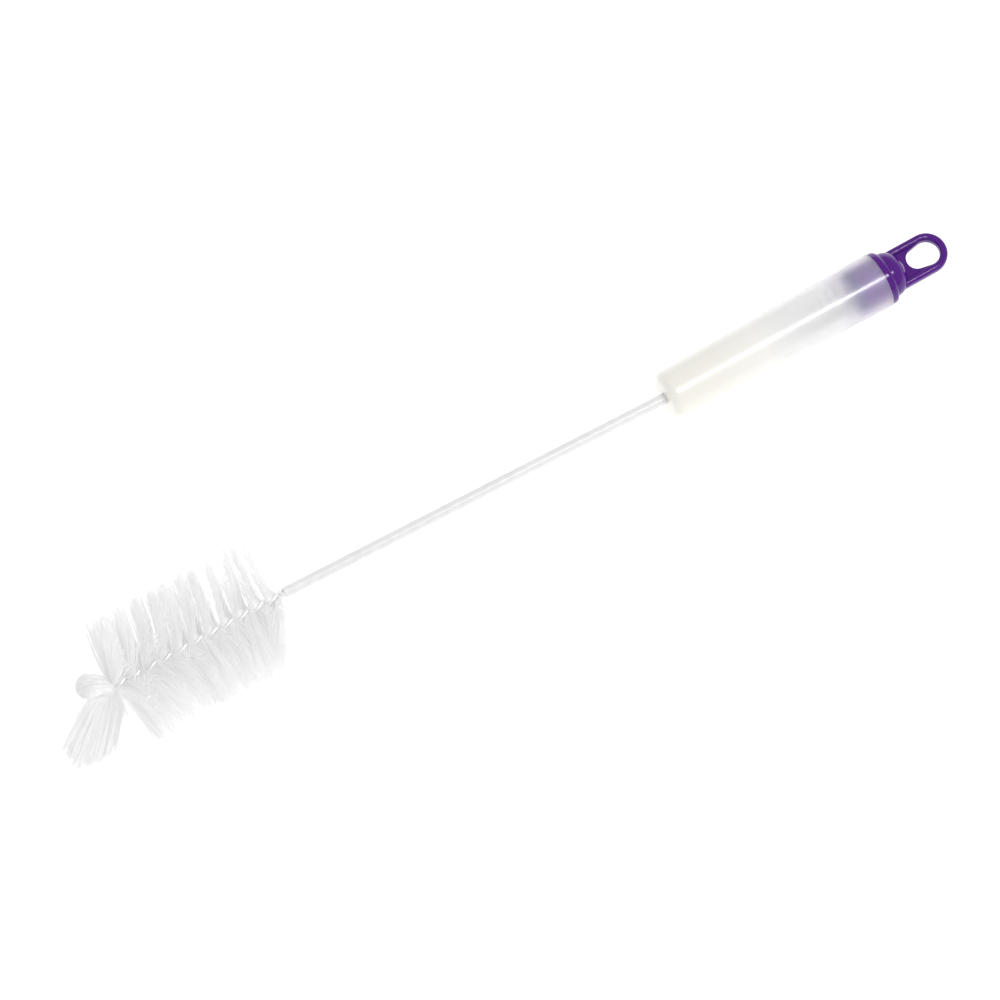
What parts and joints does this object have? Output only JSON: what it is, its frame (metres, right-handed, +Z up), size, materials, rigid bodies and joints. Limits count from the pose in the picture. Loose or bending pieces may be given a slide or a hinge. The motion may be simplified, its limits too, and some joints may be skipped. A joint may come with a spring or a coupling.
{
  "type": "bottle brush",
  "caption": "Long twisted-wire bottle brush with an end tuft, a sleeved stem, and a hollow handle whose pull-out cap with a hanging loop carries a small conical brush.",
  "frame": {"origin": "centre of the bounding box of the brush lying at rest, on the floor", "axes": "+X along the brush from the head to the hanging loop, +Z up from the floor"},
  "size_m": [0.3847, 0.0514, 0.0514],
  "materials": {
    "wire": "bright drawn wire",
    "sleeve": "smooth white coating",
    "bristles": "clear white nylon filaments",
    "tuft": "pale grey nylon filaments",
    "handle": "milky translucent, smooth",
    "cap": "glossy purple",
    "small_bristles": "grey white nylon filaments"
  },
  "bodies": {
    "brush": {"stem_wire": "wire", "stem_sleeve": "sleeve", "head_bristles": "bristles", "end_tuft": "tuft", "handle_tube": "handle"},
    "small_brush": {"cap": "cap", "small_brush_wire": "wire", "small_brush_bristles": "small_bristles"}
  },
  "joints": [
    {"name": "cap_pull", "type": "slide", "parent": "brush", "child": "small_brush", "axis": [0.9983, 0.0314, -0.0489], "range_m": [0, 0.08]}
  ]
}
